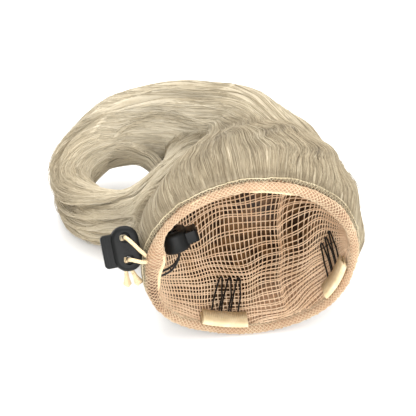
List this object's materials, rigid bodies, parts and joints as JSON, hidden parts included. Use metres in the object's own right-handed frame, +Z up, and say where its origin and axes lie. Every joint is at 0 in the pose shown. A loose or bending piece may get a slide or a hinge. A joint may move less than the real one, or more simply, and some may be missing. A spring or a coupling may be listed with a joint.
{
  "type": "drawstring bun hairpiece",
  "caption": "Ash-blonde clip-in hair bun: a net cap under combed hair that ends in a rolled curl, with a drawstring casing, spring cord locks and wire combs.",
  "frame": {"origin": "on the floor, on the flat underside of the hair over the cap, below the middle of the mouth", "axes": "+Z up from the floor, -Y out of the cap's mouth, -X towards the rolled curl and the outer cord lock"},
  "size_m": [0.1717, 0.1603, 0.1212],
  "materials": {
    "hair": "ash-blonde fibre, combed, soft sheen",
    "net": "fine open tulle net, skin tone",
    "casing": "knit elastic band, matt",
    "cord": "braided cream cord",
    "tape": "woven cotton tape",
    "wire": "black coated spring wire",
    "lock": "black moulded plastic, satin",
    "black_cord": "thin black elastic cord"
  },
  "bodies": {
    "hairpiece": {"hair_crown": "hair", "hair_curl": "hair", "net_cap": "net", "rim_casing": "casing", "drawstring_run": "cord", "drawstring_upper": "cord", "drawstring_lower": "cord", "drawstring_end_upper": "cord", "drawstring_end_lower": "cord", "lock_body": "lock", "inner_lock_body": "lock", "inner_cord_front": "black_cord", "inner_cord_back": "black_cord", "comb_front": "wire", "comb_front_tape": "tape", "comb_side": "wire", "comb_side_tape": "tape"},
    "lock_button": {"lock_plunger": "lock"},
    "inner_lock_button": {"inner_lock_plunger": "lock"}
  },
  "joints": [
    {"name": "lock_press", "type": "slide", "parent": "hairpiece", "child": "lock_button", "axis": [0.9927, 0.0772, 0.0923], "range_m": [0, 0.003], "stiffness_N_per_m": 300, "springref_m": -0.002},
    {"name": "inner_lock_press", "type": "slide", "parent": "hairpiece", "child": "inner_lock_button", "axis": [-0.9628, -0.1003, -0.2508], "range_m": [0, 0.003], "stiffness_N_per_m": 300, "springref_m": -0.002}
  ]
}
